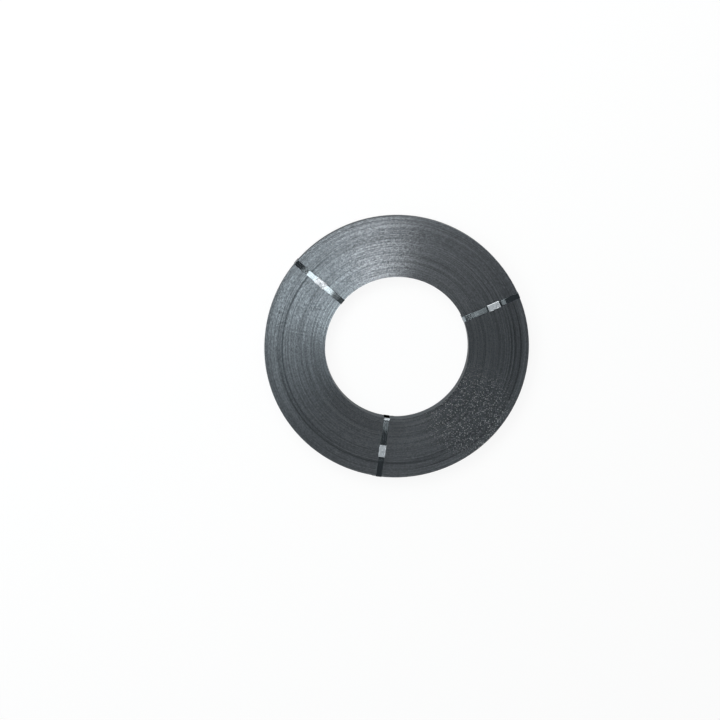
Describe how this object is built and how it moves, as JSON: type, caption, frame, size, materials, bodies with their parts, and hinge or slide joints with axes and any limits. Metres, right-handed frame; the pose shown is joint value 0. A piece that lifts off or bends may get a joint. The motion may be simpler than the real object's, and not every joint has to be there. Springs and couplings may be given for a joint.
{
  "type": "steel strapping coil",
  "caption": "Flat ribbon-wound coil of heavy steel strapping with an open bore, held by narrow crimped ties.",
  "frame": {"origin": "on the coil's axis, at the level of the floor that the ties' lower runs lie on", "axes": "+Z is the coil's axis and points up, +X is the picture's right and +Y the picture's top, where the coil is seen from nearly straight above"},
  "size_m": [0.6003, 0.6004, 0.0368],
  "materials": {
    "strap_steel": "cold-rolled, slit edges, dark blue-grey with an oily sheen",
    "tie_lacquer": "black lacquer, glossy",
    "seal_zinc": "galvanised sheet, mottled"
  },
  "bodies": {
    "root": {"strap_coil": "strap_steel", "binding_tie_1": "tie_lacquer", "binding_tie_2": "tie_lacquer", "binding_tie_3": "tie_lacquer", "seal_1": "seal_zinc", "seal_2": "seal_zinc", "seal_3": "seal_zinc"}
  },
  "joints": []
}
